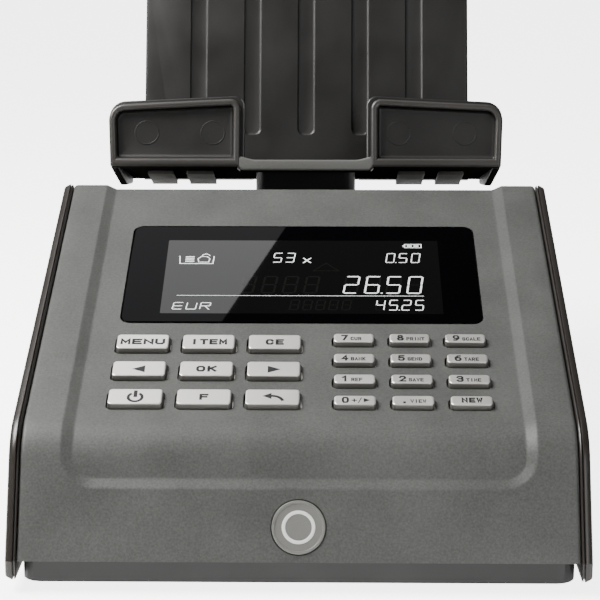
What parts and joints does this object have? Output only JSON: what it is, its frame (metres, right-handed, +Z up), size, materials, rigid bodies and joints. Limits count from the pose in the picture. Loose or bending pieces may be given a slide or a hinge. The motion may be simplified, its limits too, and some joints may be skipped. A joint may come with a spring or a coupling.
{
  "type": "banknote counting scale",
  "caption": "Wedge-shaped counting scale for banknotes and coins, with a display, spring-back keys, and a leaning note tray that lifts off its stem on a load cell.",
  "frame": {"origin": "on the table, under the middle of the whole object's bounding box", "axes": "+Z up, front (the keys' edge) towards -Y, +X to the user's right"},
  "size_m": [0.15, 0.2236, 0.1451],
  "materials": {
    "cover_grey": "fine-grained moulded plastic",
    "cheek_black": "satin moulded plastic",
    "base_black": "fine-grained moulded plastic",
    "window_black": "polished acrylic",
    "badge_grey": "satin disc",
    "display_grey": "display module",
    "mat_silicone": "soft silicone",
    "board_green": "solder mask",
    "stem_black": "polished black plastic",
    "battery_blue": "shrink wrap",
    "cell_aluminium": "machined",
    "screw_steel": "zinc plated",
    "socket_black": "moulded socket",
    "socket_steel": "pressed shell",
    "tray_black": "satin moulded plastic",
    "foot_rubber": "soft rubber",
    "key_silver": "satin metallic paint"
  },
  "bodies": {
    "console": {"top_cover": "cover_grey", "left_cheek": "cheek_black", "right_cheek": "cheek_black", "base_shell": "base_black", "display_window": "window_black", "badge_disc": "badge_grey", "lcd_module": "display_grey", "keypad_mat": "mat_silicone", "keypad_board": "board_green", "main_board": "board_green", "buzzer": "stem_black", "battery_pack": "battery_blue", "load_cell": "cell_aluminium", "load_cell_mount": "cell_aluminium", "overload_stop": "screw_steel", "dc_jack": "socket_black", "usb_port": "socket_steel", "cell_screw_front": "screw_steel", "cell_screw_rear": "screw_steel", "screw_front_left": "screw_steel", "screw_front_right": "screw_steel", "screw_rear_left": "screw_steel", "screw_rear_right": "screw_steel", "foot_front_left": "foot_rubber", "foot_front_right": "foot_rubber", "foot_rear_left": "foot_rubber", "foot_rear_right": "foot_rubber"},
    "platform": {"platform_carrier": "stem_black", "stem_screw_front": "screw_steel", "stem_screw_rear": "screw_steel"},
    "tray": {"note_tray": "tray_black", "back_rest": "tray_black"},
    "battery_door": {"battery_door": "base_black"},
    "key_menu": {"key_menu": "key_silver"},
    "key_item": {"key_item": "key_silver"},
    "key_clear": {"key_clear": "key_silver"},
    "key_left": {"key_left": "key_silver"},
    "key_ok": {"key_ok": "key_silver"},
    "key_right": {"key_right": "key_silver"},
    "key_power": {"key_power": "key_silver"},
    "key_function": {"key_function": "key_silver"},
    "key_back": {"key_back": "key_silver"},
    "key_7": {"key_7": "key_silver"},
    "key_8": {"key_8": "key_silver"},
    "key_9": {"key_9": "key_silver"},
    "key_4": {"key_4": "key_silver"},
    "key_5": {"key_5": "key_silver"},
    "key_6": {"key_6": "key_silver"},
    "key_1": {"key_1": "key_silver"},
    "key_2": {"key_2": "key_silver"},
    "key_3": {"key_3": "key_silver"},
    "key_0": {"key_0": "key_silver"},
    "key_point": {"key_point": "key_silver"},
    "key_new": {"key_new": "key_silver"}
  },
  "joints": [
    {"name": "platform_sink", "type": "slide", "parent": "console", "child": "platform", "axis": [0, 0, -1], "range_m": [0, 0.00025], "stiffness_N_per_m": 40000},
    {"name": "tray_lift", "type": "slide", "parent": "platform", "child": "tray", "axis": [0, 0, 1], "range_m": [0, 0.03]},
    {"name": "battery_door_slide", "type": "slide", "parent": "console", "child": "battery_door", "axis": [0, 1, 0], "range_m": [0, 0.05]},
    {"name": "key_menu_press", "type": "slide", "parent": "console", "child": "key_menu", "axis": [0, 0.3437, -0.9391], "range_m": [0, 0.0012], "stiffness_N_per_m": 600, "springref_m": -0.0005},
    {"name": "key_item_press", "type": "slide", "parent": "console", "child": "key_item", "axis": [0, 0.3437, -0.9391], "range_m": [0, 0.0012], "stiffness_N_per_m": 600, "springref_m": -0.0005},
    {"name": "key_clear_press", "type": "slide", "parent": "console", "child": "key_clear", "axis": [0, 0.3437, -0.9391], "range_m": [0, 0.0012], "stiffness_N_per_m": 600, "springref_m": -0.0005},
    {"name": "key_left_press", "type": "slide", "parent": "console", "child": "key_left", "axis": [0, 0.3437, -0.9391], "range_m": [0, 0.0012], "stiffness_N_per_m": 600, "springref_m": -0.0005},
    {"name": "key_ok_press", "type": "slide", "parent": "console", "child": "key_ok", "axis": [0, 0.3437, -0.9391], "range_m": [0, 0.0012], "stiffness_N_per_m": 600, "springref_m": -0.0005},
    {"name": "key_right_press", "type": "slide", "parent": "console", "child": "key_right", "axis": [0, 0.3437, -0.9391], "range_m": [0, 0.0012], "stiffness_N_per_m": 600, "springref_m": -0.0005},
    {"name": "key_power_press", "type": "slide", "parent": "console", "child": "key_power", "axis": [0, 0.3437, -0.9391], "range_m": [0, 0.0012], "stiffness_N_per_m": 600, "springref_m": -0.0005},
    {"name": "key_function_press", "type": "slide", "parent": "console", "child": "key_function", "axis": [0, 0.3437, -0.9391], "range_m": [0, 0.0012], "stiffness_N_per_m": 600, "springref_m": -0.0005},
    {"name": "key_back_press", "type": "slide", "parent": "console", "child": "key_back", "axis": [0, 0.3437, -0.9391], "range_m": [0, 0.0012], "stiffness_N_per_m": 600, "springref_m": -0.0005},
    {"name": "key_7_press", "type": "slide", "parent": "console", "child": "key_7", "axis": [0, 0.3437, -0.9391], "range_m": [0, 0.0012], "stiffness_N_per_m": 600, "springref_m": -0.0005},
    {"name": "key_8_press", "type": "slide", "parent": "console", "child": "key_8", "axis": [0, 0.3437, -0.9391], "range_m": [0, 0.0012], "stiffness_N_per_m": 600, "springref_m": -0.0005},
    {"name": "key_9_press", "type": "slide", "parent": "console", "child": "key_9", "axis": [0, 0.3437, -0.9391], "range_m": [0, 0.0012], "stiffness_N_per_m": 600, "springref_m": -0.0005},
    {"name": "key_4_press", "type": "slide", "parent": "console", "child": "key_4", "axis": [0, 0.3437, -0.9391], "range_m": [0, 0.0012], "stiffness_N_per_m": 600, "springref_m": -0.0005},
    {"name": "key_5_press", "type": "slide", "parent": "console", "child": "key_5", "axis": [0, 0.3437, -0.9391], "range_m": [0, 0.0012], "stiffness_N_per_m": 600, "springref_m": -0.0005},
    {"name": "key_6_press", "type": "slide", "parent": "console", "child": "key_6", "axis": [0, 0.3437, -0.9391], "range_m": [0, 0.0012], "stiffness_N_per_m": 600, "springref_m": -0.0005},
    {"name": "key_1_press", "type": "slide", "parent": "console", "child": "key_1", "axis": [0, 0.3437, -0.9391], "range_m": [0, 0.0012], "stiffness_N_per_m": 600, "springref_m": -0.0005},
    {"name": "key_2_press", "type": "slide", "parent": "console", "child": "key_2", "axis": [0, 0.3437, -0.9391], "range_m": [0, 0.0012], "stiffness_N_per_m": 600, "springref_m": -0.0005},
    {"name": "key_3_press", "type": "slide", "parent": "console", "child": "key_3", "axis": [0, 0.3437, -0.9391], "range_m": [0, 0.0012], "stiffness_N_per_m": 600, "springref_m": -0.0005},
    {"name": "key_0_press", "type": "slide", "parent": "console", "child": "key_0", "axis": [0, 0.3437, -0.9391], "range_m": [0, 0.0012], "stiffness_N_per_m": 600, "springref_m": -0.0005},
    {"name": "key_point_press", "type": "slide", "parent": "console", "child": "key_point", "axis": [0, 0.3437, -0.9391], "range_m": [0, 0.0012], "stiffness_N_per_m": 600, "springref_m": -0.0005},
    {"name": "key_new_press", "type": "slide", "parent": "console", "child": "key_new", "axis": [0, 0.3437, -0.9391], "range_m": [0, 0.0012], "stiffness_N_per_m": 600, "springref_m": -0.0005}
  ]
}
